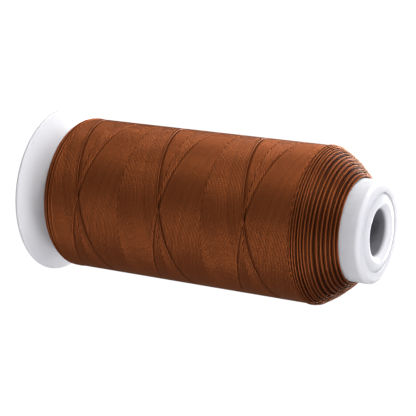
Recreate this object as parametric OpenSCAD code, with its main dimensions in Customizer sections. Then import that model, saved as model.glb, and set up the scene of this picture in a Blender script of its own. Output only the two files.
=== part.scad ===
// Waxed thread spool, in millimetres.
// A moulded core of three pressed pieces carries a cross-wound package of waxed thread.
// The spool stands on its base flange. +Z is the spindle axis, and the origin is the middle of the base.

/* [Core] */
// Height of the barrel's rim above the table
spool_h = 118.8; // [105:0.2:150]
// Diameter of the spindle bore, the same in the base and in the nose
bore_d = 15; // [12:0.2:16]
// Wall of the two collars that guide the spindle
collar_wall = 1.5; // [1:0.1:2.2]
// Outer diameter of the barrel that the thread is wound on
barrel_d = 32.6; // [29:0.2:35]
// Wall of the barrel
barrel_wall = 1.8; // [1.2:0.1:2.4]
// Clearance all round where one moulding enters another
fit_gap = 0.1; // [0.05:0.05:0.2]

/* [Base flange] */
// Diameter of the base flange
flange_d = 56; // [54:0.5:70]
// Thickness of the flange at its rounded rim
rim_t = 1.2; // [1:0.1:2.4]
// Width of the flat ring that the spool stands on
foot_w = 2.6; // [1.8:0.1:4]
// Wall of the cone and of its seat
plate_t = 1.2; // [1:0.1:1.8]
// Height of the seat that the barrel stands on
seat_h = 5; // [4:0.1:6]
// Width of the flat step round the barrel's seat
seat_step = 1; // [0.6:0.1:2]
// Length of the spigot inside the barrel
spigot_l = 10; // [6:0.5:16]
// Wall of the spigot
spigot_wall = 1.5; // [1.2:0.1:2]
// Length of the bore in the base
base_bore_l = 18; // [12:0.5:24]
// Number of ribs under the plate
rib_count = 8; // [4:1:12]
// Thickness of the ribs
rib_t = 1.2; // [0.8:0.1:2]
// Height of the ribs' lower edge above the table
rib_lift = 0.5; // [0.3:0.1:1]

/* [Nose] */
// Radius of the barrel's rounded end
nose_round = 1.6; // [1:0.1:2]
// Width of the barrel's in-turned lip
lip_w = 3.6; // [3:0.1:4.4]
// Thickness of the lip
lip_t = 2; // [1.6:0.1:2.6]
// Depth of the bush's edge below the barrel's rim
face_drop = 0.4; // [0.2:0.1:0.8]
// Height of the bush's swollen mouth above the barrel's rim
mouth_rise = 0.3; // [0:0.1:0.8]
// Thickness of the bush's flange behind the lip
bush_t = 1.6; // [1.2:0.1:2.4]
// Length of the bore in the nose bush
nose_bore_l = 18; // [12:0.5:24]
// Radius of the rounded mouth of the bore at the nose
nose_mouth_round = 2; // [0.6:0.1:2.4]
// Number of ribs between the bush's skirt and its collar
bush_rib_count = 6; // [4:1:12]
// Length of the bush's skirt inside the barrel
skirt_l = 9; // [6:0.5:14]
// Wall of the bush's skirt
skirt_wall = 1.4; // [1.2:0.1:2]
// Chamfer that leads the spigot and the skirt into the barrel
lead_in = 0.6; // [0.3:0.1:1]

/* [Thread package] */
// Diameter of the full package
package_d = 50.6; // [46:0.2:52]
// Length of bare barrel that stands out of the thread at the nose
nose_show = 7; // [5:0.1:14]
// Length of the taper at the nose, along the axis
nose_taper_l = 11.1; // [8:0.1:16]
// Radius of the shoulder where the nose taper starts
nose_shoulder = 3.5; // [2:0.1:5]
// Length of the steep end at the base, along the axis
base_taper_l = 4.8; // [3:0.1:8]
// Radius of the shoulder at the base
base_shoulder = 2.5; // [2:0.1:4]
// Gap between the first turns and the base flange
root_gap = 0.3; // [0.2:0.1:1]

/* [Winding] */
// Diameter of the waxed thread
strand_d = 0.5; // [0.4:0.05:0.52]
// Gap between the outer strand and the layers below it
strand_gap = 0.05; // [0.03:0.01:0.1]
// Advance of the outer strand along the body, for each turn
wind_pitch = 30.5; // [28:0.5:36]
// Step from loop to loop on the two ends of the package
loop_step = 0.93; // [0.93:0.01:1]
// Loops round the base shoulder
base_loops = 4; // [3:1:4]
// Loops down the nose taper
nose_loops = 14; // [10:1:14]
// Angle from +X at which the strand leaves the base shoulder for the body
wind_start = 143; // [0:1:359]

/* [Hidden] */
$fn = 96;

bore_r = bore_d / 2;
collar_r = bore_r + collar_wall;
barrel_r = barrel_d / 2;
barrel_in_r = barrel_r - barrel_wall;
insert_r = barrel_in_r - fit_gap;
flange_r = flange_d / 2;
seat_r = barrel_r + seat_step;
seat_under = seat_h - plate_t;
foot_r = flange_r - rim_t / 2;
foot_in_r = foot_r - foot_w;
foot_mid_r = foot_r - foot_w / 2;
spigot_in_r = insert_r - spigot_wall;
lip_r = barrel_r - lip_w;
lip_under = spool_h - lip_t;
face_z = spool_h - face_drop;
mouth_z = spool_h + mouth_rise;
mouth_r = bore_r + nose_mouth_round;
face_r = lip_r - fit_gap;
bush_under = lip_under - bush_t;
skirt_in_r = insert_r - skirt_wall;
cut_over = 1;

white_plastic = "#f1f0f1";
thread_brown = "#8a4526";
strand_brown = "#9a512e";

// Outline of the wound layers: corners of the profile before its two shoulders are rounded.
layer_r = package_d / 2 - strand_d;
root_r = barrel_r + strand_gap;
root_z = seat_h + root_gap;
base_corner_z = root_z + base_taper_l;
nose_end_z = spool_h - nose_show;
nose_corner_z = nose_end_z - nose_taper_l;

rise = layer_r - root_r;
base_turn = atan2(rise, base_taper_l);
nose_turn = atan2(rise, nose_taper_l);
base_tangent = base_shoulder * tan(base_turn / 2);
nose_tangent = nose_shoulder * tan(nose_turn / 2);

// Lengths along the profile: steep end, base shoulder, body, nose shoulder, nose taper.
base_slope_l = norm([rise, base_taper_l]) - base_tangent;
base_arc_l = base_shoulder * base_turn * PI / 180;
body_l = nose_corner_z - base_corner_z - base_tangent - nose_tangent;
nose_arc_l = nose_shoulder * nose_turn * PI / 180;
nose_slope_l = norm([rise, nose_taper_l]) - nose_tangent;
base_arc_at = base_slope_l;
body_at = base_arc_at + base_arc_l;
nose_arc_at = body_at + body_l;
nose_slope_at = nose_arc_at + nose_arc_l;
profile_l = nose_slope_at + nose_slope_l;

// A point of the profile and its outward normal, at length s from the root: [radius, height, turn].
// The turn is the angle of the normal above the horizontal: negative at the base, positive at the nose.
function profile(s) =
    s < base_arc_at ? [
        root_r + s * sin(base_turn),
        root_z + s * cos(base_turn),
        -base_turn] :
    s < body_at ? base_arc((s - base_arc_at) / base_arc_l) :
    s < nose_arc_at ? [
        layer_r,
        base_corner_z + base_tangent + s - body_at,
        0] :
    s < nose_slope_at ? nose_arc((s - nose_arc_at) / nose_arc_l) :
    [
        root_r + (profile_l - s) * sin(nose_turn),
        nose_end_z - (profile_l - s) * cos(nose_turn),
        nose_turn];

function base_arc(share) =
    let (turn = -base_turn * (1 - share))
    [
        layer_r - base_shoulder * (1 - cos(turn)),
        base_corner_z + base_tangent + base_shoulder * sin(turn),
        turn];

function nose_arc(share) =
    let (turn = nose_turn * share)
    [
        layer_r - nose_shoulder * (1 - cos(turn)),
        nose_corner_z - nose_tangent + nose_shoulder * sin(turn),
        turn];

// The outer strand: loops round the base shoulder, an open helix up the body, loops down the nose.
loop_rings = 24;
strand_sides = 6;
strand_r = strand_d / 2;
side_flat = strand_r * cos(180 / strand_sides);
strand_lift = side_flat + strand_gap;
chord_scale = 1 / cos(180 / loop_rings);
body_turns = body_l / wind_pitch;
strand_from = body_at - base_loops * loop_step;
strand_turns = base_loops + body_turns + nose_loops;
ring_count = floor(strand_turns * loop_rings);

// Length along the profile that the strand has reached after a number of turns.
function strand_at(turns) =
    turns < base_loops ? strand_from + turns * loop_step :
    turns < base_loops + body_turns ? body_at + (turns - base_loops) * wind_pitch :
    nose_arc_at + (turns - base_loops - body_turns) * loop_step;

function strand_ring(index) =
    let (
        turns = index / loop_rings,
        here = profile(strand_at(turns)),
        angle = wind_start + (turns - base_loops) * 360,
        tilt = here[2],
        mid_r = (here[0] + strand_lift * cos(tilt)) * chord_scale,
        mid_z = here[1] + strand_lift * sin(tilt)
    )
    [for (side = [0:strand_sides - 1])
        let (
            corner = tilt + (side + 0.5) * 360 / strand_sides,
            r = mid_r + strand_r * cos(corner),
            z = mid_z + strand_r * sin(corner)
        )
        [r * cos(angle), r * sin(angle), z]];

function ring_middle(ring) = (ring[0] + ring[3]) / 2;

strand_rings = [for (index = [0:ring_count]) strand_ring(index)];
strand_points = [for (ring = strand_rings) each ring];

// Two triangles for each side of each step, and a fan over each end.
function side_faces(index) =
    [for (side = [0:strand_sides - 1])
        let (
            next = (side + 1) % strand_sides,
            a = index * strand_sides + side,
            b = index * strand_sides + next,
            c = a + strand_sides,
            d = b + strand_sides
        )
        each [[a, c, b], [b, c, d]]];

last_ring = ring_count * strand_sides;
strand_faces = concat(
    [for (index = [0:ring_count - 1]) each side_faces(index)],
    [for (side = [1:strand_sides - 2]) [0, side, side + 1]],
    [for (side = [1:strand_sides - 2]) [last_ring, last_ring + side + 1, last_ring + side]]);

// The least gap of the strand to itself, between rings that are at least half a loop apart.
strand_middles = [for (ring = strand_rings) ring_middle(ring)];
strand_least = min([
    for (i = [0:ring_count])
        for (j = [i + loop_rings / 2:min(i + 2 * loop_rings, ring_count)])
            norm(strand_middles[i] - strand_middles[j])]) - strand_d;
echo("least gap of the outer strand to itself, mm", strand_least);
echo("loops of the outer strand", strand_turns);

module ring_section(r_in, r_out, z_low, z_high) {
    translate([r_in, z_low])
        square([r_out - r_in, z_high - z_low]);
}

// A sleeve that enters the barrel: its free end has a lead-in chamfer. The way is +1 for an end that points up.
module sleeve_section(r_in, z_seat, length, way) {
    end = z_seat + way * length;
    polygon([
        [r_in, z_seat],
        [insert_r, z_seat],
        [insert_r, end - way * lead_in],
        [insert_r - lead_in, end],
        [r_in, end]
    ]);
}

// Section of a collar whose mouth at z_mouth is rounded. The way is +1 for a mouth that faces up, -1 for down.
module collar_section(z_mouth, length, round_r, way) {
    back = z_mouth - way * round_r;
    end = z_mouth - way * length;
    ring_section(bore_r, collar_r, min(back, end), max(back, end));
    intersection() {
        ring_section(bore_r, max(collar_r, bore_r + round_r), min(back, z_mouth), max(back, z_mouth));
        union() {
            translate([bore_r + round_r, back])
                circle(r = round_r, $fn = 48);
            ring_section(bore_r + round_r, flange_r, min(back, z_mouth), max(back, z_mouth));
        }
    }
}

// Height of the cone's upper side at radius r.
function cone_z(r) = rim_t + (foot_r - r) * (seat_h - rim_t) / (foot_r - seat_r);

module plate_section() {
    // Rounded rim, the foot, the cone, and the seat round the spigot.
    translate([flange_r - rim_t / 2, rim_t / 2])
        circle(d = rim_t, $fn = 48);
    polygon([
        [foot_in_r, 0],
        [foot_r, 0],
        [foot_r, rim_t],
        [seat_r, seat_h],
        [bore_r + collar_wall / 2, seat_h],
        [bore_r + collar_wall / 2, seat_under],
        [seat_r, seat_under],
        [foot_in_r, cone_z(foot_in_r) - plate_t]
    ]);
}

module base_flange() {
    color(white_plastic) {
        rotate_extrude() {
            plate_section();
            sleeve_section(spigot_in_r, seat_under, spigot_l + plate_t, 1);
            collar_section(0, base_bore_l, collar_wall / 2, -1);
        }
        intersection() {
            rotate_extrude()
                polygon([
                    [collar_r - collar_wall / 2, rib_lift],
                    [foot_mid_r, rib_lift],
                    [foot_mid_r, cone_z(foot_mid_r) - plate_t / 2],
                    [seat_r, seat_under + plate_t / 2],
                    [collar_r - collar_wall / 2, seat_under + plate_t / 2]
                ]);
            for (turn = [0:rib_count - 1])
                rotate(turn * 360 / rib_count)
                    translate([0, -rib_t / 2, 0])
                        cube([flange_r, rib_t, seat_h]);
        }
    }
}

module barrel() {
    color(white_plastic)
        rotate_extrude()
            difference() {
                union() {
                    ring_section(barrel_in_r, barrel_r, seat_h, spool_h);
                    ring_section(lip_r, barrel_r, lip_under, spool_h);
                }
                // The corner outside the rounded end.
                difference() {
                    ring_section(barrel_r - nose_round, barrel_r + cut_over, spool_h - nose_round, spool_h + cut_over);
                    translate([barrel_r - nose_round, spool_h - nose_round])
                        circle(r = nose_round, $fn = 48);
                }
            }
}

module nose_bush() {
    color(white_plastic) {
        rotate_extrude() {
            // Face that swells from its edge to the mouth of the bore.
            polygon([
                [mouth_r, bush_under],
                [insert_r, bush_under],
                [insert_r, lip_under],
                [face_r, lip_under],
                [face_r, face_z],
                [mouth_r, mouth_z]
            ]);
            ring_section(collar_r - collar_wall / 2, mouth_r, bush_under, mouth_z - nose_mouth_round);
            sleeve_section(skirt_in_r, lip_under, skirt_l, -1);
            collar_section(mouth_z, nose_bore_l, nose_mouth_round, 1);
        }
        for (turn = [0:bush_rib_count - 1])
            rotate(turn * 360 / bush_rib_count)
                translate([collar_r - collar_wall / 2, -rib_t / 2, lip_under - skirt_l])
                    cube([skirt_in_r - collar_r + collar_wall / 2 + skirt_wall / 2, rib_t, skirt_l - bush_t / 2]);
    }
}

module thread_layers() {
    arc_steps = 12;
    base_bend = [for (step = [0:arc_steps]) base_arc(step / arc_steps)];
    nose_bend = [for (step = [0:arc_steps]) nose_arc(step / arc_steps)];
    color(thread_brown)
        rotate_extrude()
            polygon(concat(
                [[root_r, root_z]],
                [for (point = base_bend) [point[0], point[1]]],
                [for (point = nose_bend) [point[0], point[1]]],
                [[root_r, nose_end_z]]));
}

module outer_winding() {
    color(strand_brown)
        polyhedron(points = strand_points, faces = strand_faces, convexity = 10);
}

base_flange();
barrel();
nose_bush();
thread_layers();
outer_winding();
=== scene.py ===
"""Waxed thread spool: the finishes of its moulded core, and its wound thread strand by strand.

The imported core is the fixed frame. The thread is laid over it as the winder lays it: forward strands
and backward strands that cross on the body, and loops where the strands turn back at the two ends.
"""

import math

import bpy
import numpy as np
from mathutils import Matrix, Vector


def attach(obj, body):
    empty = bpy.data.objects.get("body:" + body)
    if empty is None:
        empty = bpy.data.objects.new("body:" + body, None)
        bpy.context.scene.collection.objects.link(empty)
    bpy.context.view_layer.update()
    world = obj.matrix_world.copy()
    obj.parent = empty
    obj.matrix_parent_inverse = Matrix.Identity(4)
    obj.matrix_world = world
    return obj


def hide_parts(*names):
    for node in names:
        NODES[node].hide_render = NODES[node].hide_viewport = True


bl_info = {
    "name": "Waxed Thread Spool",
    "version": (1, 0, 0),
    "blender": (4, 5, 0),
    "location": "View3D > Sidebar > Spool",
    "description": "Finishes a moulded spool core and winds its waxed thread",
    "category": "Object",
}

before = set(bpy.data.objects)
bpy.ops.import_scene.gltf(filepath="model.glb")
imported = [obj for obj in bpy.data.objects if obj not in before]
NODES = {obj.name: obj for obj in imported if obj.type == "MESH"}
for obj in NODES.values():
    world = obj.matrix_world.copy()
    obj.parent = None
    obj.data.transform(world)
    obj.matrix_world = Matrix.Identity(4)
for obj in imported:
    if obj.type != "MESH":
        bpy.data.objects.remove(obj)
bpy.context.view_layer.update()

MM = 0.001
BODY = "root"

# The package's profile, in mm, as in the part's source.
ROOT_R = 16.35
ROOT_Z = 5.3
LAYER_R = 24.8
BASE_CORNER_Z = 10.1
NOSE_CORNER_Z = 100.7
NOSE_END_Z = 111.8
BASE_SHOULDER = 2.5
NOSE_SHOULDER = 3.5
# How far the wound slope at the nose swells between its two ends, in mm.
NOSE_SWELL = 0.6

# Radius and height where the painted shade on the wall of the nose bore begins, and where it is full, in
# mm.
BORE_SHADE_START_R, BORE_SHADE_FULL_R = 8.4, 7.7
BORE_SHADE_START_Z, BORE_SHADE_FULL_Z = 118.2, 116.8

# A strand's UV map holds mm along it and turns round it. Its tone goes from -1, dark, to 1.2, bright: it
# varies at random from strand to strand, and also carries painted shade at the dark end and a painted
# highlight at the bright end.
STRAND_UV = "strand_uv"
TONE_AND_PAINTED_LIGHT = "tone_and_painted_light"
# Tone of thread that lies under other strands: painted shade.
PAINTED_SHADE_TONE = -0.9

# The loops that make one ridge, side by side: the height of each in mm, and its tone, a painted highlight
# on the highest loop and painted shade on the lower ones.
HIGHEST_CREST = 0.36
FINE_RIDGE = ((0.3, 1.0), (-0.12, -0.8))
WIDE_RIDGE = ((0.05, -0.5), (HIGHEST_CREST, 1.0), (0.1, -0.7))


def linear(hex_colour):
    """A colour written as an sRGB hex value, as linear RGBA."""
    parts = [int(hex_colour[i : i + 2], 16) / 255 for i in (1, 3, 5)]
    return tuple(p / 12.92 if p <= 0.04045 else ((p + 0.055) / 1.055) ** 2.4 for p in parts) + (1.0,)


# ------------------------------------------------------------------ settings


class CoreSettings(bpy.types.PropertyGroup):
    """Finish of the moulded core."""

    plastic: bpy.props.FloatVectorProperty(
        name="Plastic",
        description="Colour of the moulded core",
        subtype="COLOR",
        size=4,
        min=0,
        max=1,
        default=linear("#f6f5f8"),
    )
    grain: bpy.props.FloatProperty(
        name="Mould grain",
        description="Width of the faint unevenness that the mould leaves",
        default=2.2 * MM,
        unit="LENGTH",
    )


class ThreadSettings(bpy.types.PropertyGroup):
    """Size and colour of the thread and of the way it is wound."""

    dye: bpy.props.FloatVectorProperty(
        name="Dye",
        description="Colour of the dyed thread",
        subtype="COLOR",
        size=4,
        min=0,
        max=1,
        default=linear("#8a4824"),
    )
    width: bpy.props.FloatProperty(
        name="Strand width",
        description="Width of the thread where it lies pressed on the package",
        default=0.5 * MM,
        unit="LENGTH",
    )
    height: bpy.props.FloatProperty(
        name="Strand height",
        description="Height of the pressed thread",
        default=0.42 * MM,
        unit="LENGTH",
    )
    outer_radius: bpy.props.FloatProperty(
        name="Package radius",
        description="Radius over the outermost strands",
        default=25.3 * MM,
        unit="LENGTH",
    )
    pitch: bpy.props.FloatProperty(
        name="Wind pitch",
        description="Travel of the thread guide along the spool, for each turn",
        default=30.5 * MM,
        unit="LENGTH",
    )
    strands: bpy.props.IntProperty(
        name="Strands in a pitch",
        description="Strands of each direction that lie side by side in one pitch",
        default=60,
        min=20,
        max=90,
    )
    forward_lap: bpy.props.FloatProperty(
        name="Forward lap",
        description="Height where the newest forward strand would cross the +X side",
        default=-0.375 * MM,
        unit="LENGTH",
    )
    backward_lap: bpy.props.FloatProperty(
        name="Backward lap",
        description="Height where the newest backward strand would cross the +X side",
        default=15.8 * MM,
        unit="LENGTH",
    )
    ridge_step: bpy.props.FloatProperty(
        name="Ridge step",
        description="Distance between the ridges that turned-back strands make at the two ends",
        default=0.93 * MM,
        unit="LENGTH",
    )


class StageSettings(bpy.types.PropertyGroup):
    """Floor of the stage."""

    floor: bpy.props.FloatVectorProperty(
        name="Floor",
        description="Colour of the floor",
        subtype="COLOR",
        size=4,
        min=0,
        max=1,
        default=linear("#545454"),
    )


# ------------------------------------------------------------------ shared helpers


def add_node(tree, kind, inputs=(), **settings):
    """Adds a node, sets its fields, and sets or links its inputs."""
    made = tree.nodes.new(kind)
    for field, value in settings.items():
        setattr(made, field, value)
    for socket, value in dict(inputs).items():
        if isinstance(value, bpy.types.NodeSocket):
            tree.links.new(value, made.inputs[socket])
        else:
            made.inputs[socket].default_value = value
    return made


def new_material(name):
    """An empty node material and its tree."""
    made = bpy.data.materials.new(name)
    made.use_nodes = True
    made.node_tree.nodes.clear()
    return made, made.node_tree


def finish_mesh(name, verts, faces, uvs, tones_and_painted_light, material, node=None):
    """Makes a piece from arrays in mm: its mesh, its UV map, its tone attribute and its finish."""
    mesh = bpy.data.meshes.new(name)
    mesh.from_pydata((verts * MM).tolist(), [], faces.tolist())
    layer = mesh.uv_layers.new(name=STRAND_UV)
    layer.data.foreach_set("uv", uvs.astype(np.float32).ravel())
    tone_and_painted_light = mesh.attributes.new(TONE_AND_PAINTED_LIGHT, "FLOAT", "POINT")
    tone_and_painted_light.data.foreach_set("value", tones_and_painted_light.astype(np.float32))
    mesh.shade_smooth()
    mesh.materials.append(material)
    piece = bpy.data.objects.new(name, mesh)
    bpy.context.scene.collection.objects.link(piece)
    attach(piece, BODY)
    if node:
        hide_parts(node)
    return piece


class Skein:
    """Collects strands, each a closed flattened tube along a path, until they become one mesh."""

    # Share of its width and height to which an open strand narrows at its two ends.
    END_SHARE = 0.45

    def __init__(self, width, height, sides=8):
        self.width = width
        self.height = height
        self.sides = sides
        self.count = 0
        self.verts = []
        self.faces = []
        self.uvs = []
        self.tones_and_painted_light = []

    def lay(self, path, out, tone_and_painted_light, start_length=0.0, closed=False):
        """Adds one strand along path (n x 3, mm), with its outward normals in out.

        A closed strand joins its own start. An open one has a cap at each end.
        """
        rings, sides = len(path), self.sides
        if closed:
            along = np.roll(path, -1, axis=0) - np.roll(path, 1, axis=0)
            line = np.concatenate([path, path[:1]])
        else:
            along = np.gradient(path, axis=0)
            line = path
        along /= np.linalg.norm(along, axis=1)[:, None]
        across = np.cross(out, along)
        across /= np.linalg.norm(across, axis=1)[:, None]
        up = np.cross(along, across)

        turn = (np.arange(sides) + 0.5) * 2 * math.pi / sides
        ring = (
            across[:, None, :] * (np.cos(turn) * self.width / 2)[None, :, None]
            + up[:, None, :] * (np.sin(turn) * self.height / 2)[None, :, None]
        )
        scale = np.ones(rings)
        if not closed:
            scale[0] = scale[-1] = self.END_SHARE
        verts = path[:, None, :] + ring * scale[:, None, None]
        self.verts.append(verts.reshape(-1, 3))
        self.tones_and_painted_light.append(np.full(rings * sides, tone_and_painted_light))

        # One quad on each side of each span between two rings.
        spans = len(line) - 1
        i = np.arange(spans)[:, None] * sides
        after = (i + sides) % (rings * sides)
        k = np.arange(sides)[None, :]
        beside = (k + 1) % sides
        quads = np.stack([i + k, i + beside, after + beside, after + k], axis=-1)
        self.faces.append(quads.reshape(-1, 4) + self.count)

        travelled = np.cumsum(np.linalg.norm(np.diff(line, axis=0), axis=1))
        length = start_length + np.concatenate([[0], travelled])
        u0 = np.repeat(length[:-1], sides)
        u1 = np.repeat(length[1:], sides)
        v0 = np.tile(np.arange(sides) / sides, spans)
        v1 = v0 + 1 / sides
        corners = ((u0, v0), (u0, v1), (u1, v1), (u1, v0))
        uv = np.stack([np.stack(corner, axis=-1) for corner in corners], axis=1)
        self.uvs.append(uv.reshape(-1, 2))

        if not closed:
            self.cap(0, flip=True)
            self.cap((rings - 1) * sides, flip=False)
        self.count += rings * sides

    def cap(self, first, flip):
        """Closes the ring that starts at vertex first of the strand that is being laid."""
        last = first + self.sides - 1
        quads = [[first + m, first + m + 1, last - m - 1, last - m] for m in range(self.sides // 2 - 1)]
        quads = np.array(quads) + self.count
        if flip:
            quads = quads[:, ::-1]
        self.faces.append(quads)
        self.uvs.append(np.full((quads.size, 2), 0.5))

    def piece(self, name, material, node=None):
        """Makes one piece of all the strands laid so far."""
        return finish_mesh(
            name,
            np.concatenate(self.verts),
            np.concatenate(self.faces),
            np.concatenate(self.uvs),
            np.concatenate(self.tones_and_painted_light),
            material,
            node,
        )


def smooth(x):
    """Eases from 0 to 1 as x goes from 0 to 1."""
    x = np.clip(x, 0, 1)
    return x * x * (3 - 2 * x)


def ripple(angle, z, seed, wave_turn, wave_z):
    """A gentle unevenness over the package, about -1 to 1, the same for neighbouring strands.

    It has up to wave_turn waves in a turn, and along the spool most are longer than wave_z mm.
    """
    count = 7
    # The waves seldom add up to more than this.
    crest = 0.6 * count
    rng = np.random.RandomState(seed)
    total = np.zeros(np.broadcast(angle, z).shape)
    for _ in range(count):
        around = rng.randint(-wave_turn, wave_turn + 1)
        along = 2 * math.pi / (wave_z * rng.uniform(0.8, 4.0)) * rng.choice([-1, 1])
        total += rng.uniform(0.5, 1) * np.sin(around * angle + along * z + rng.uniform(0, 2 * math.pi))
    return total / crest


def waves(rng, counts):
    """An unevenness round the package, as a function of the angle. Counts gives its waves in a turn."""
    terms = [(n, rng.uniform(0.3, 1) / n, rng.uniform(0, 2 * math.pi)) for n in counts]
    return lambda turned: sum(size * np.sin(n * turned + phase) for n, size, phase in terms)


# ------------------------------------------------------------------ profile of the package

RISE = LAYER_R - ROOT_R
BASE_TURN = math.atan2(RISE, BASE_CORNER_Z - ROOT_Z)
NOSE_TURN = math.atan2(RISE, NOSE_END_Z - NOSE_CORNER_Z)
BASE_TANGENT = BASE_SHOULDER * math.tan(BASE_TURN / 2)
NOSE_TANGENT = NOSE_SHOULDER * math.tan(NOSE_TURN / 2)
BODY_LOW = BASE_CORNER_Z + BASE_TANGENT
BODY_HIGH = NOSE_CORNER_Z - NOSE_TANGENT
# Lengths along the profile from the body's two ends, past the shoulder's arc and then the slope.
BASE_ARC_L = BASE_SHOULDER * BASE_TURN
NOSE_ARC_L = NOSE_SHOULDER * NOSE_TURN
BASE_END_L = BASE_ARC_L + (math.hypot(RISE, BASE_CORNER_Z - ROOT_Z) - BASE_TANGENT)
NOSE_END_L = NOSE_ARC_L + (math.hypot(RISE, NOSE_END_Z - NOSE_CORNER_Z) - NOSE_TANGENT)


def nose_profile(s, lift):
    """Radius, height and the normal's turn at length s past the body's nose end, raised by lift."""
    s = np.asarray(s, float)
    lift = lift + NOSE_SWELL * np.sin(math.pi * np.clip(s / NOSE_END_L, 0, 1))
    turn = np.clip(s / NOSE_SHOULDER, 0, NOSE_TURN)
    past = np.maximum(s - NOSE_ARC_L, 0)
    r = LAYER_R - NOSE_SHOULDER * (1 - np.cos(turn)) - past * math.sin(NOSE_TURN)
    z = BODY_HIGH + NOSE_SHOULDER * np.sin(turn) + past * math.cos(NOSE_TURN) + np.minimum(s, 0)
    return r + lift * np.cos(turn), z + lift * np.sin(turn), turn


def base_profile(s, lift):
    """The same on the base side, where s grows from the body's end towards the base flange."""
    s = np.asarray(s, float)
    turn = np.clip(s / BASE_SHOULDER, 0, BASE_TURN)
    past = np.maximum(s - BASE_ARC_L, 0)
    r = LAYER_R - BASE_SHOULDER * (1 - np.cos(turn)) - past * math.sin(BASE_TURN)
    z = BODY_LOW - BASE_SHOULDER * np.sin(turn) - past * math.cos(BASE_TURN) - np.minimum(s, 0)
    return r + lift * np.cos(turn), z - lift * np.sin(turn), -turn


def on_package(angle, r, z, turn):
    """Points and outward normals at angle (radians), radius and height, in mm."""
    c, s = np.cos(angle), np.sin(angle)
    turn = np.broadcast_to(turn, c.shape)
    path = np.stack([r * c, r * s, np.broadcast_to(z, c.shape)], axis=-1)
    out = np.stack([c * np.cos(turn), s * np.cos(turn), np.sin(turn)], axis=-1)
    return path, out


# ------------------------------------------------------------------ materials


def polypropylene(name, settings, spread):
    """White polypropylene, injection moulded: a soft gloss, and light that spreads inside it."""
    made, tree = new_material(name)
    place = add_node(tree, "ShaderNodeTexCoord").outputs["Object"]
    # Flow of the melt, in patches as wide as the mould grain, over the fine texture of the mould.
    texture = 0.25 * MM
    grain = add_node(
        tree,
        "ShaderNodeTexNoise",
        {"Vector": place, "Scale": 1 / settings.grain, "Detail": 3.0, "Roughness": 0.55},
    )
    fine = add_node(tree, "ShaderNodeTexNoise", {"Vector": place, "Scale": 1 / texture, "Detail": 2.0})
    sheen = add_node(
        tree,
        "ShaderNodeMapRange",
        {"Value": grain.outputs["Fac"], "From Min": 0.3, "From Max": 0.7, "To Min": 0.42, "To Max": 0.5},
    )
    both = add_node(
        tree,
        "ShaderNodeMath",
        {0: grain.outputs["Fac"], 1: fine.outputs["Fac"]},
        operation="ADD",
    )
    bump = add_node(
        tree,
        "ShaderNodeBump",
        {"Height": both.outputs["Value"], "Strength": 0.12, "Distance": 0.03 * MM},
    )
    # The bore's wall is painted grey as shade: inside the bore's radius and below its mouth.
    spot = add_node(tree, "ShaderNodeSeparateXYZ", {"Vector": place})
    flat = add_node(tree, "ShaderNodeCombineXYZ", {"X": spot.outputs["X"], "Y": spot.outputs["Y"]})
    radius = add_node(tree, "ShaderNodeVectorMath", {0: flat.outputs["Vector"]}, operation="LENGTH")
    inside = add_node(
        tree,
        "ShaderNodeMapRange",
        {"Value": radius.outputs["Value"], "From Min": BORE_SHADE_START_R * MM, "From Max": BORE_SHADE_FULL_R * MM},
    )
    below = add_node(
        tree,
        "ShaderNodeMapRange",
        {"Value": spot.outputs["Z"], "From Min": BORE_SHADE_START_Z * MM, "From Max": BORE_SHADE_FULL_Z * MM},
    )
    bore_shade = add_node(
        tree,
        "ShaderNodeMath",
        {0: inside.outputs["Result"], 1: below.outputs["Result"]},
        operation="MULTIPLY",
    )
    colour = add_node(
        tree,
        "ShaderNodeMix",
        {"Factor": bore_shade.outputs["Value"], "A": settings.plastic, "B": linear("#8c8c90")},
        data_type="RGBA",
    )
    shader = add_node(
        tree,
        "ShaderNodeBsdfPrincipled",
        {
            "Base Color": colour.outputs["Result"],
            "Roughness": sheen.outputs["Result"],
            "IOR": 1.49,
            "Subsurface Weight": 0.7,
            "Subsurface Radius": (1.0, 0.95, 0.9),
            "Subsurface Scale": spread,
            "Normal": bump.outputs["Normal"],
        },
    )
    add_node(tree, "ShaderNodeOutputMaterial", {"Surface": shader.outputs["BSDF"]})
    return made


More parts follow.
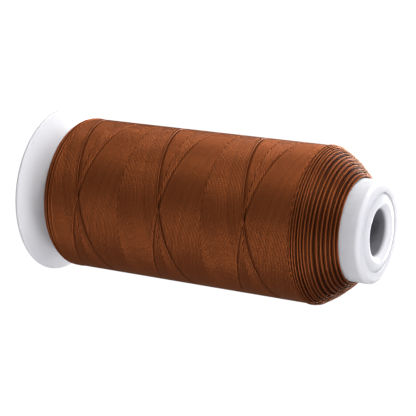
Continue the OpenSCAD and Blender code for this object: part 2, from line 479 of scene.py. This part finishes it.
def waxed_thread(settings):
    """Bonded polyester thread, three plies twisted and waxed: their lay shows under a satin sheen."""
    name = "Waxed Bonded Polyester Thread"
    if name in bpy.data.materials:
        return bpy.data.materials[name]
    made, tree = new_material(name)
    uv = add_node(tree, "ShaderNodeUVMap", uv_map=STRAND_UV).outputs["UV"]
    tone_and_painted_light = add_node(tree, "ShaderNodeAttribute", attribute_name=TONE_AND_PAINTED_LIGHT).outputs["Fac"]
    # Twist of three plies: one turn in 2.4 mm, so a ply shows every 0.8 mm.
    ply = 0.8
    plies = add_node(tree, "ShaderNodeMapping", {"Vector": uv, "Scale": (1 / ply, 1.0, 1.0)})
    # At this scale the wave texture draws one band to a unit.
    one_band = 2 * math.pi / 10
    twist = add_node(
        tree,
        "ShaderNodeTexWave",
        {"Vector": plies.outputs["Vector"], "Scale": one_band, "Distortion": 0.6, "Detail": 1.0},
        bands_direction="DIAGONAL",
    )
    # Filaments along the strand, 36 round it. At 0.05 mm they are coarser than real ones, so they show.
    filaments = add_node(tree, "ShaderNodeMapping", {"Vector": uv, "Scale": (0.7, 12.0, 1.0)})
    fibre = add_node(
        tree,
        "ShaderNodeTexNoise",
        {"Vector": filaments.outputs["Vector"], "Scale": 3.0, "Detail": 3.0},
    )
    relief = add_node(
        tree,
        "ShaderNodeMath",
        {0: twist.outputs["Fac"], 1: fibre.outputs["Fac"]},
        operation="ADD",
    )
    bump = add_node(
        tree,
        "ShaderNodeBump",
        {"Height": relief.outputs["Value"], "Strength": 1.0, "Distance": 0.018 * MM},
    )
    # The tone sets the dye's brightness: random from strand to strand, plus painted shade and painted
    # highlight where the loops are given them.
    shade = add_node(
        tree,
        "ShaderNodeMapRange",
        {"Value": tone_and_painted_light, "From Min": -1.0, "From Max": 1.2, "To Min": 0.25, "To Max": 1.22},
    )
    colour = add_node(
        tree,
        "ShaderNodeHueSaturation",
        {"Color": settings.dye, "Value": shade.outputs["Result"]},
    )
    # The waxed filaments shine in their own brown, which the metallic share gives.
    shader = add_node(
        tree,
        "ShaderNodeBsdfPrincipled",
        {
            "Base Color": colour.outputs["Color"],
            "Metallic": 0.6,
            "Roughness": 0.34,
            "IOR": 1.5,
            "Specular IOR Level": 0.3,
            "Specular Tint": linear("#c8b4a0"),
            "Normal": bump.outputs["Normal"],
        },
    )
    add_node(tree, "ShaderNodeOutputMaterial", {"Surface": shader.outputs["BSDF"]})
    return made


# ------------------------------------------------------------------ core and thread


class SPOOL_OT_finish_core(bpy.types.Operator):
    """Give the three mouldings of the core their white plastic"""

    bl_idname = "spool.finish_core"
    bl_label = "Finish Core"

    def execute(self, context):
        settings = context.scene.spool_core
        # Light spreads further in the thick mouldings than in the thin plate of the flange.
        thick = polypropylene("Moulded White Polypropylene", settings, 7.5 * MM)
        thin = polypropylene("Thin Moulded White Polypropylene", settings, 3 * MM)
        for name, plastic in (("barrel", thick), ("nose_bush", thick), ("base_flange", thin)):
            for place in NODES[name].material_slots:
                place.material = plastic
        return {"FINISHED"}


class SPOOL_OT_wind_under(bpy.types.Operator):
    """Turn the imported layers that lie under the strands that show"""

    bl_idname = "spool.wind_under"
    bl_label = "Wind Under Layers"

    def execute(self, context):
        settings = context.scene.spool_thread
        # The layers lie below the profile, on the nose slope a little more, and clear of the core.
        drop, slope_drop = -0.1, -0.3
        clear_r, clear_z = 0.02, 0.12
        base_s = np.append(np.linspace(0, BASE_ARC_L, 9), BASE_END_L)[::-1]
        nose_s = np.append(np.linspace(0, NOSE_ARC_L, 9), np.linspace(NOSE_ARC_L, NOSE_END_L, 8)[1:])
        body_z = np.linspace(BODY_LOW, BODY_HIGH, 12)[1:-1]
        body_r = np.full(len(body_z), LAYER_R + drop)
        base_r, base_z, _ = base_profile(base_s, drop)
        nose_r, nose_z, _ = nose_profile(nose_s, drop + slope_drop * smooth(nose_s / NOSE_ARC_L))
        r = np.concatenate([[ROOT_R + clear_r], base_r, body_r, nose_r, [ROOT_R + clear_r]])
        z = np.concatenate([[ROOT_Z + clear_z], base_z, body_z, nose_z, [NOSE_END_Z - clear_z]])

        bpy.ops.object.select_all(action="DESELECT")
        bpy.ops.mesh.primitive_circle_add(vertices=192, radius=r[0] * MM, location=(0, 0, z[0] * MM))
        piece = context.object
        piece.name = piece.data.name = "wound_layers"
        bpy.ops.object.mode_set(mode="EDIT")
        bpy.ops.mesh.select_all(action="SELECT")
        for i in range(1, len(r)):
            up = (z[i] - z[i - 1]) * MM
            bpy.ops.mesh.extrude_region_move(TRANSFORM_OT_translate={"value": (0, 0, up)})
            factor = r[i] / r[i - 1]
            bpy.ops.transform.resize(value=(factor, factor, 1), center_override=(0, 0, z[i] * MM))
        bpy.ops.mesh.select_all(action="DESELECT")
        bpy.ops.mesh.select_non_manifold()
        bpy.ops.mesh.bridge_edge_loops()
        bpy.ops.mesh.select_all(action="SELECT")
        # On this ring-shaped shell it is inside=True that turns the faces outward.
        bpy.ops.mesh.normals_make_consistent(inside=True)
        bpy.ops.object.mode_set(mode="OBJECT")
        bpy.ops.object.transform_apply(location=True, rotation=True, scale=True)

        layer = piece.data.uv_layers.get("UVMap") or piece.data.uv_layers.new(name="UVMap")
        layer.name = STRAND_UV
        tone_and_painted_light = piece.data.attributes.new(TONE_AND_PAINTED_LIGHT, "FLOAT", "POINT")
        # The layers under the strands are painted dark, as painted shade.
        tone_and_painted_light.data.foreach_set("value", np.full(len(piece.data.vertices), PAINTED_SHADE_TONE, np.float32))
        piece.data.materials.append(waxed_thread(settings))
        bpy.ops.object.shade_smooth()
        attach(piece, BODY)
        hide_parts("thread_layers")
        return {"FINISHED"}


def ring_angles(start, end, climb, dive, per_mm):
    """Angles of a strand's rings, in degrees, with more of them where it climbs and where it dives."""
    # How far it runs on under the other strands, before and after, in mm.
    lead, tuck = 0.5, 1.6
    # Degrees between two rings.
    widest, closest = 4.6, 0.9
    first = start - (climb / 2 + lead) * per_mm
    last = end + tuck * per_mm
    spread = np.linspace(first, last, max(8, int((last - first) / widest)))
    near_start = start + np.array([-0.5, 0, 0.5]) * climb * per_mm
    near_end = end + np.linspace(-1, 0.1, 5) * dive * per_mm
    angle = np.unique(np.round(np.concatenate([spread, near_start, near_end]), 2))
    return angle[np.concatenate([[True], np.diff(angle) > closest])]


class SPOOL_OT_wind_body(bpy.types.Operator):
    """Lay the forward and backward strands that cross on the body"""

    bl_idname = "spool.wind_body"
    bl_label = "Wind Body"

    def execute(self, context):
        settings = context.scene.spool_thread
        width, height = settings.width / MM, settings.height / MM
        pitch, count = settings.pitch / MM, settings.strands
        laps = {1: settings.forward_lap / MM, -1: settings.backward_lap / MM}
        meet = (laps[-1] - laps[1]) / pitch
        top = settings.outer_radius / MM - height / 2
        per_mm = 360 / (2 * math.pi * top)
        # The strands run a little way onto the shoulders, and sink there.
        low, high = BODY_LOW - 0.8, BODY_HIGH + 0.9
        sink, sink_run = 0.35, 1.6
        # Length over which a strand climbs into sight, and over which it dives under those that cross it,
        # and how far past its end it is all under them.
        climb, dives, past = 1.0, {1: 1.3, -1: 2.4}, 0.1
        # The strands on both sides of the lap stand a little apart, and are painted darker, as painted
        # shade between them.
        apart, lap_painted_shade_tone = 0.1, 0.0
        # Neighbouring strands overlap, as pressed thread does.
        overlap = 1.45
        # How far a strand sways to its side, lifts, and wobbles in so many waves to a turn, in mm.
        sway_size, lift_size, wobble_size, wobble_waves = 0.005, 0.004, 0.008, 11
        # Half turns that are tried in each direction, more than any body has.
        reach = 60
        rng = np.random.RandomState(seed=11)
        for hand, name in ((1, "forward_strands"), (-1, "backward_strands")):
            dive = dives[hand]
            skein = Skein(overlap * width, height)
            creep = 0.0
            # The newest strand, the one at 0, is left out, so that the lap shows as a line.
            for k in range(1, count):
                age = (k + 0.5) / count
                # Each strand has its own tone, and in mm its own slip of the twist, side play and ends.
                tone_and_painted_light = rng.uniform(0.4, 0.9)
                creep += rng.uniform(-0.3, 0.3)
                jitter = rng.uniform(-0.02, 0.02)
                # Beside the lap the strands get painted shade in their tone.
                if k in (1, count - 1):
                    tone_and_painted_light = lap_painted_shade_tone
                    jitter = hand * (apart if k == 1 else -apart)
                phase = rng.uniform(0, 2 * math.pi)
                late_in = rng.uniform(-0.25, 0.25)
                late_out = rng.uniform(-0.2, 0.2)

                def height_at(degrees):
                    """Height of the strand where it passes an angle."""
                    return laps[hand] + hand * pitch * (degrees / 360 + age)

                # The strand lies on top from start to end, once in each half turn.
                for half_turn in range(-reach, reach):
                    start = 180 * (meet - 2 * age - half_turn)
                    end = 180 * (meet - age - half_turn)
                    z_start, z_end = height_at(start), height_at(end)
                    if max(z_start, z_end) < low or min(z_start, z_end) > high:
                        continue
                    angle = ring_angles(start, end, climb, dive, per_mm)
                    z = height_at(angle)
                    inside = (z > low) & (z < high)
                    angle, z = angle[inside], z[inside]
                    if len(angle) < 4:
                        continue
                    travelled = (angle - start) / per_mm + late_in
                    left = (end - angle) / per_mm + late_out
                    level = np.minimum(smooth(travelled / climb + 0.5), smooth((left + past) / dive))
                    rad = np.radians(angle)
                    sway = sway_size * ripple(rad, z, seed=5 + hand, wave_turn=14, wave_z=3.0)
                    sway = sway + jitter + wobble_size * np.sin(rad * wobble_waves + phase)
                    lift = lift_size * ripple(rad, z, seed=8 + hand, wave_turn=20, wave_z=2.0)
                    nose_sink = sink * smooth((z - (high - sink_run)) / sink_run)
                    base_sink = sink * smooth((low + sink_run - z) / sink_run)
                    r = top - height * (1 - level) + lift - (nose_sink + base_sink)
                    path, out = on_package(rad, r, z + sway, 0)
                    # The plies of neighbouring strands lie nearly in step.
                    skein.lay(path, out, tone_and_painted_light, start_length=top * rad[0] + creep)
            skein.piece(name, waxed_thread(settings), "outer_winding" if hand > 0 else None)
        return {"FINISHED"}


def lay_bed(loop, rng, length, spacing):
    """Lays loops painted dark as shade under the ridges, and deeper down within 3 mm of the body's end.
    """
    first, sway_size = 0.1, 0.04
    for at in np.arange(first, length, spacing):
        sway = waves(rng, (1, 2, 3))
        deep = -0.5 * smooth(at / 3) - 0.1
        loop(
            lambda turned: at + sway_size * sway(turned),
            lambda turned: np.full(len(turned), deep),
            PAINTED_SHADE_TONE,
        )


def lay_ridges(loop, rng, first, length, step, wider, middle_level):
    """Lays ridges of strands that turn back side by side: fine at the shoulder, wide near the core, each
    with a painted highlight on its highest loop and painted shade on the others.
    """
    # How far a loop leaves its ridge's middle, and how far its ridge and it rise and fall, in mm.
    drift_size, side_size = 0.06, 0.035
    swell_size, lift_size = 0.06, 0.05
    at = first
    while at < length:
        # From 1 mm to 7 mm past the body's end, ridges grow to nearly twice as wide, with wider gaps.
        share = smooth((at - 1.0) / 6.0)
        span = step * (0.78 + wider + 0.72 * share) * rng.uniform(0.9, 1.1)
        crests = FINE_RIDGE if share < 0.5 else WIDE_RIDGE
        filled = 0.95 - 0.15 * share
        sway_size = 0.1 + 0.1 * share
        sway, swell = waves(rng, (1, 2, 3, 5, 8)), waves(rng, (2, 3, 6))
        # Each loop's tone paints a highlight on the crest and shade on the lower loops.
        for i, (crest, tone_and_painted_light) in enumerate(crests):
            middle = at + span * (0.5 + filled * ((i + 0.5) / len(crests) - 0.5))
            level = middle_level + crest
            drift = waves(rng, (1, 2, 3))
            side, lift = waves(rng, (2, 3, 5, 7, 11)), waves(rng, (2, 3, 5, 7, 11))
            loop(
                lambda turned: middle
                + sway_size * sway(turned)
                + drift_size * drift(turned)
                + side_size * side(turned),
                lambda turned: level + swell_size * swell(turned) + lift_size * lift(turned),
                tone_and_painted_light + rng.uniform(-0.4, 0.1),
            )
        at += span


class SPOOL_OT_wind_ends(bpy.types.Operator):
    """Lay the loops where the strands turn back: down the nose taper and down the base end"""

    bl_idname = "spool.wind_ends"
    bl_label = "Wind Ends"

    def execute(self, context):
        settings = context.scene.spool_thread
        width, height = settings.width / MM, settings.height / MM
        step = settings.ridge_step / MM
        highest = height / 2 + HIGHEST_CREST
        # The loops stop this far before the profile's end, in mm.
        end_gap = 0.2
        # Width of a loop, and spacing of the bed's loops, as shares of the strand's width.
        loop_share, bed_share = 0.86, 0.9
        rng = np.random.RandomState(seed=23)
        jobs = (
            # name, profile, where the ridges start and end, how much lower they are, and wider, in steps
            ("nose_loops", nose_profile, 0.0, NOSE_END_L, 0.0, 0.0),
            ("base_loops", base_profile, -1.5, BASE_END_L, 0.07, 0.4),
        )
        ring_step = 4.5
        angle = np.radians(np.arange(0, 360, ring_step))
        for name, profile, first, length, lower, wider in jobs:
            skein = Skein(loop_share * width, height)

            def loop(place, level, tone_and_painted_light):
                """Lays a loop whose distance past the body's end and whose level follow the angle."""
                turned = angle + rng.uniform(0, 2 * math.pi)
                s = np.clip(place(turned), first, length - end_gap)
                r, z, turn = profile(s, np.minimum(level(turned), highest))
                path, out = on_package(turned, r, z, turn)
                skein.lay(path, out, tone_and_painted_light, start_length=rng.uniform(0, 40), closed=True)

            lay_bed(loop, rng, length - end_gap, bed_share * width)
            lay_ridges(loop, rng, first, length, step, wider, height / 2 - lower)
            skein.piece(name, waxed_thread(settings))
        return {"FINISHED"}


# ------------------------------------------------------------------ stage


def lay_floor(context):
    """A sheet of white paper, which the camera sees glow and the part sees dim."""
    bpy.ops.object.select_all(action="DESELECT")
    bpy.ops.mesh.primitive_plane_add(size=8, location=(0, 0, 0))
    floor = context.object
    floor.name = floor.data.name = "studio_floor"
    made, tree = new_material("Matt White Paper")
    # Glossy surfaces see a tenth of the glow, and a fifth of the sheet stays paper, which shows shadows.
    glossy_share, glow_share = 0.1, 0.8
    ray = add_node(tree, "ShaderNodeLightPath")
    paper = add_node(tree, "ShaderNodeBsdfDiffuse", {"Color": context.scene.spool_stage.floor})
    glow = add_node(tree, "ShaderNodeEmission", {"Color": linear("#ffffff"), "Strength": 1.27})
    clear = add_node(
        tree,
        "ShaderNodeMath",
        {0: ray.outputs["Is Camera Ray"], 1: ray.outputs["Is Transmission Ray"]},
        operation="MAXIMUM",
    )
    glossy = add_node(
        tree,
        "ShaderNodeMath",
        {0: ray.outputs["Is Glossy Ray"], 1: glossy_share},
        operation="MULTIPLY",
    )
    seen = add_node(
        tree,
        "ShaderNodeMath",
        {0: clear.outputs["Value"], 1: glossy.outputs["Value"]},
        operation="MAXIMUM",
    )
    share = add_node(
        tree,
        "ShaderNodeMath",
        {0: seen.outputs["Value"], 1: glow_share},
        operation="MULTIPLY",
    )
    mix = add_node(
        tree,
        "ShaderNodeMixShader",
        {0: share.outputs["Value"], 1: paper.outputs["BSDF"], 2: glow.outputs["Emission"]},
    )
    add_node(tree, "ShaderNodeOutputMaterial", {"Surface": mix.outputs["Shader"]})
    floor.data.materials.append(made)


def light_world(scene):
    """A dim, faintly blue light from all round."""
    world = bpy.data.worlds.new("studio")
    world.use_nodes = True
    tree = world.node_tree
    tree.nodes.clear()
    sky = add_node(tree, "ShaderNodeBackground", {"Color": linear("#e2e2f4"), "Strength": 0.28})
    add_node(tree, "ShaderNodeOutputWorld", {"Surface": sky.outputs["Background"]})
    scene.world = world


def hang_lamps(scene):
    """Rectangular lamps round the spool, which all face its middle."""
    centre = Vector((0, 0, 60 * MM))
    lamps = (
        # name, azimuth and elevation in degrees, distance, width and height in metres, watts
        ("back", -172, 5, 0.7, 0.4, 0.18, 4.0),
        ("back left", -150, 5, 0.7, 0.6, 0.18, 4.2),
        ("left", -108, 9, 0.7, 0.5, 0.18, 3.1),
        ("key", -56, 26, 0.7, 0.5, 0.18, 2.2),
        ("right", 48, 14, 0.7, 0.8, 0.18, 2.1),
        ("left top", -78, 58, 0.7, 0.45, 0.3, 0.9),
        ("right top", 84, 58, 0.7, 0.45, 0.3, 1.4),
    )
    for name, azimuth, elevation, distance, wide, high, watts in lamps:
        lamp = bpy.data.lights.new(name, "AREA")
        lamp.shape = "RECTANGLE"
        lamp.size, lamp.size_y = wide, high
        lamp.energy = watts
        stand = bpy.data.objects.new(name, lamp)
        scene.collection.objects.link(stand)
        a, e = math.radians(azimuth), math.radians(elevation)
        back = Vector((math.sin(a) * math.cos(e), -math.cos(a) * math.cos(e), math.sin(e)))
        stand.location = centre + back * distance
        stand.rotation_euler = back.to_track_quat("Z", "Y").to_euler()


def place_camera(scene):
    """A long lens, turned on its side: the standing spool is seen lying, with its nose to the right."""
    eye = Vector((-0.00018, -0.43494, 0.29070))
    right = Vector((-0.13935, 0.46768, 0.87284))
    up = Vector((-0.99024, -0.06581, -0.12283))
    back = right.cross(up)
    camera = bpy.data.cameras.new("camera")
    camera.sensor_width = 36
    camera.lens = 129.8
    camera.clip_start, camera.clip_end = 0.01, 20
    rig = bpy.data.objects.new("camera", camera)
    scene.collection.objects.link(rig)
    turned = Matrix((right, up, back)).transposed().normalized()
    rig.matrix_world = Matrix.Translation(eye) @ turned.to_4x4()
    scene.camera = rig


class SPOOL_OT_set_stage(bpy.types.Operator):
    """Set the floor, the lamps and the camera"""

    bl_idname = "spool.set_stage"
    bl_label = "Set Stage"

    def execute(self, context):
        scene = context.scene
        lay_floor(context)
        light_world(scene)
        hang_lamps(scene)
        place_camera(scene)
        scene.view_settings.view_transform = "Standard"
        return {"FINISHED"}


# ------------------------------------------------------------------ panel and registration


class SPOOL_PT_panel(bpy.types.Panel):
    """Lists the steps that make the spool"""

    bl_idname = "SPOOL_PT_panel"
    bl_label = "Waxed Thread Spool"
    bl_space_type = "VIEW_3D"
    bl_region_type = "UI"
    bl_category = "Spool"

    def draw(self, context):
        for settings in (context.scene.spool_core, context.scene.spool_thread, context.scene.spool_stage):
            box = self.layout.box()
            for name in settings.__annotations__:
                box.prop(settings, name)
        for step in STEPS:
            self.layout.operator(step.bl_idname)


STEPS = (
    SPOOL_OT_finish_core,
    SPOOL_OT_wind_under,
    SPOOL_OT_wind_body,
    SPOOL_OT_wind_ends,
    SPOOL_OT_set_stage,
)
GROUPS = (
    ("spool_core", CoreSettings),
    ("spool_thread", ThreadSettings),
    ("spool_stage", StageSettings),
)


def register():
    """Registers the settings, the steps and the panel."""
    for name, group in GROUPS:
        bpy.utils.register_class(group)
        setattr(bpy.types.Scene, name, bpy.props.PointerProperty(type=group))
    for step in STEPS:
        bpy.utils.register_class(step)
    bpy.utils.register_class(SPOOL_PT_panel)


def unregister():
    """Takes them away again."""
    bpy.utils.unregister_class(SPOOL_PT_panel)
    for step in reversed(STEPS):
        bpy.utils.unregister_class(step)
    for name, group in reversed(GROUPS):
        delattr(bpy.types.Scene, name)
        bpy.utils.unregister_class(group)


def main():
    """Makes the whole spool, step by step."""
    register()
    for step in STEPS:
        family, action = step.bl_idname.split(".")
        getattr(getattr(bpy.ops, family), action)()


if __name__ == "__main__":
    main()
